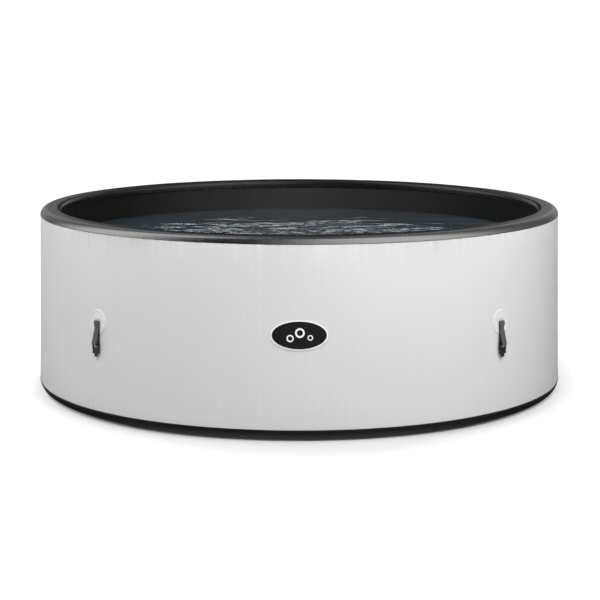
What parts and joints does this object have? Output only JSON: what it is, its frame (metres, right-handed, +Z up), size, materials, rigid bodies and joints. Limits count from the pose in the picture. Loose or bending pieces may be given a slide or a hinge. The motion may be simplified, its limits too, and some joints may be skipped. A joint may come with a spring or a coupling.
{
  "type": "inflatable hot tub",
  "caption": "Round inflatable hot tub: drop-stitch air wall with black rim and base bands, cover clips, air valve with screw cap, drain, hose fittings and bubble ring.",
  "frame": {"origin": "centre of the face that rests on the ground", "axes": "+Z up; the badge at the front faces -Y and the hose fittings are at +Y"},
  "size_m": [1.9522, 1.9856, 0.67],
  "materials": {
    "wall_white": "PVC-coated drop-stitch fabric, white, very fine upright ribs",
    "liner_black": "PVC-coated fabric, black, matt",
    "rim_black": "PVC-coated fabric, black, satin",
    "base_black": "PVC-coated fabric, black, matt",
    "tape_white": "PVC tape, white, welded",
    "tape_black": "PVC tape, black, welded",
    "foam": "closed-cell foam, pale grey",
    "yarn": "twisted polyester yarn",
    "ring_black": "soft PVC tube, black",
    "badge_white": "moulded plastic, white",
    "badge_black": "moulded plastic, black",
    "patch_white": "welded PVC, white",
    "webbing_grey": "woven polypropylene webbing, dark grey",
    "buckle_black": "moulded acetal, black",
    "valve_grey": "moulded plastic, grey",
    "valve_white": "moulded plastic, white",
    "cap_grey": "moulded plastic, dark grey",
    "fitting_grey": "moulded plastic, grey",
    "gasket": "moulded rubber, black",
    "stopper_rubber": "moulded rubber, black",
    "spring_steel": "stainless spring wire",
    "ball_white": "moulded plastic, white",
    "hose_clear": "soft PVC hose, milky",
    "water": "water, seen only in the pictures"
  },
  "bodies": {
    "tub": {"outer_wall_skin": "wall_white", "inner_wall_skin": "liner_black", "drop_stitch_yarns": "yarn", "rim_band": "rim_black", "base_band": "base_black", "outer_seam_tape": "tape_white", "inner_seam_tape": "tape_black", "ground_sheet": "base_black", "floor_foam": "foam", "floor_sheet": "liner_black", "floor_seam_tape": "tape_black", "bubble_ring": "ring_black", "badge_plate": "badge_white", "badge_face": "badge_black", "badge_emblem": "badge_white", "clip_patches": "patch_white", "valve_housing": "valve_grey", "valve_gasket": "gasket", "valve_nut": "valve_grey", "valve_spring": "spring_steel", "suction_fitting": "fitting_grey", "return_fitting": "fitting_grey", "port_gaskets": "gasket", "port_lock_nuts": "fitting_grey", "drain_fitting": "fitting_grey", "drain_gaskets": "gasket", "drain_lock_nut": "fitting_grey", "air_fitting": "fitting_grey", "air_gasket": "gasket", "air_riser_hose": "hose_clear"},
    "strap_front_left": {"strap_front_left": "webbing_grey"},
    "buckle_front_left": {"buckle_front_left": "buckle_black"},
    "strap_front_right": {"strap_front_right": "webbing_grey"},
    "buckle_front_right": {"buckle_front_right": "buckle_black"},
    "strap_back_right": {"strap_back_right": "webbing_grey"},
    "buckle_back_right": {"buckle_back_right": "buckle_black"},
    "strap_back_left": {"strap_back_left": "webbing_grey"},
    "buckle_back_left": {"buckle_back_left": "buckle_black"},
    "valve_plunger": {"valve_plunger": "valve_white", "valve_seal": "gasket"},
    "valve_cap_washer": {"valve_cap_washer": "gasket"},
    "valve_cap": {"valve_cap": "cap_grey"},
    "drain_cap_washer": {"drain_cap_washer": "gasket"},
    "drain_cap": {"drain_cap": "cap_grey"},
    "drain_stopper": {"drain_stopper": "stopper_rubber"},
    "suction_stopper": {"suction_stopper": "stopper_rubber"},
    "return_stopper": {"return_stopper": "stopper_rubber"},
    "air_check_ball": {"air_check_ball": "ball_white"}
  },
  "joints": [
    {"name": "strap_front_left_swing", "type": "hinge", "parent": "tub", "child": "strap_front_left", "pos_m": [-0.69247, -0.69247, 0.348], "axis": [-0.7071, 0.7071, 0], "range_deg": [0, 135]},
    {"name": "buckle_front_left_swivel", "type": "hinge", "parent": "strap_front_left", "child": "buckle_front_left", "pos_m": [-0.69544, -0.69544, 0.2674], "axis": [-0.7071, 0.7071, 0], "range_deg": [0, 90]},
    {"name": "strap_front_right_swing", "type": "hinge", "parent": "tub", "child": "strap_front_right", "pos_m": [0.69247, -0.69247, 0.348], "axis": [-0.7071, -0.7071, 0], "range_deg": [0, 135]},
    {"name": "buckle_front_right_swivel", "type": "hinge", "parent": "strap_front_right", "child": "buckle_front_right", "pos_m": [0.69544, -0.69544, 0.2674], "axis": [-0.7071, -0.7071, 0], "range_deg": [0, 90]},
    {"name": "strap_back_right_swing", "type": "hinge", "parent": "tub", "child": "strap_back_right", "pos_m": [0.69247, 0.69247, 0.348], "axis": [0.7071, -0.7071, 0], "range_deg": [0, 135]},
    {"name": "buckle_back_right_swivel", "type": "hinge", "parent": "strap_back_right", "child": "buckle_back_right", "pos_m": [0.69544, 0.69544, 0.2674], "axis": [0.7071, -0.7071, 0], "range_deg": [0, 90]},
    {"name": "strap_back_left_swing", "type": "hinge", "parent": "tub", "child": "strap_back_left", "pos_m": [-0.69247, 0.69247, 0.348], "axis": [0.7071, 0.7071, 0], "range_deg": [0, 135]},
    {"name": "buckle_back_left_swivel", "type": "hinge", "parent": "strap_back_left", "child": "buckle_back_left", "pos_m": [-0.69544, 0.69544, 0.2674], "axis": [0.7071, 0.7071, 0], "range_deg": [0, 90]},
    {"name": "valve_cap_lift", "type": "slide", "parent": "tub", "child": "valve_cap_washer", "axis": [0.4695, 0.8829, 0], "range_m": [0, 0.012]},
    {"name": "valve_cap_turn", "type": "hinge", "parent": "valve_cap_washer", "child": "valve_cap", "pos_m": [0.46243, 0.8697, 0.3], "axis": [0.4695, 0.8829, 0], "range_deg": [0, 1081]},
    {"name": "valve_plunger_push", "type": "slide", "parent": "tub", "child": "valve_plunger", "axis": [-0.4695, -0.8829, 0], "range_m": [0, 0.006], "stiffness_N_per_m": 600, "springref_m": -0.004, "deforming": ["valve_spring"]},
    {"name": "drain_cap_lift", "type": "slide", "parent": "tub", "child": "drain_cap_washer", "axis": [-0.4695, 0.8829, 0], "range_m": [0, 0.018]},
    {"name": "drain_cap_turn", "type": "hinge", "parent": "drain_cap_washer", "child": "drain_cap", "pos_m": [-0.46478, 0.87412, 0.092], "axis": [-0.4695, 0.8829, 0], "range_deg": [0, 1621]},
    {"name": "drain_stopper_pull", "type": "slide", "parent": "tub", "child": "drain_stopper", "axis": [0.4695, -0.8829, 0], "range_m": [0, 0.06]},
    {"name": "suction_stopper_pull", "type": "slide", "parent": "tub", "child": "suction_stopper", "axis": [0.1908, -0.9816, 0], "range_m": [0, 0.06]},
    {"name": "return_stopper_pull", "type": "slide", "parent": "tub", "child": "return_stopper", "axis": [-0.1908, -0.9816, 0], "range_m": [0, 0.06]},
    {"name": "air_check_ball_lift", "type": "slide", "parent": "tub", "child": "air_check_ball", "axis": [0, -1, 0], "range_m": [0, 0.006]}
  ],
  "couplings": [
    {"joint": "valve_cap_turn", "follows": "valve_cap_lift", "rad_per_m": 1570.8},
    {"joint": "drain_cap_turn", "follows": "drain_cap_lift", "rad_per_m": 1570.8}
  ]
}
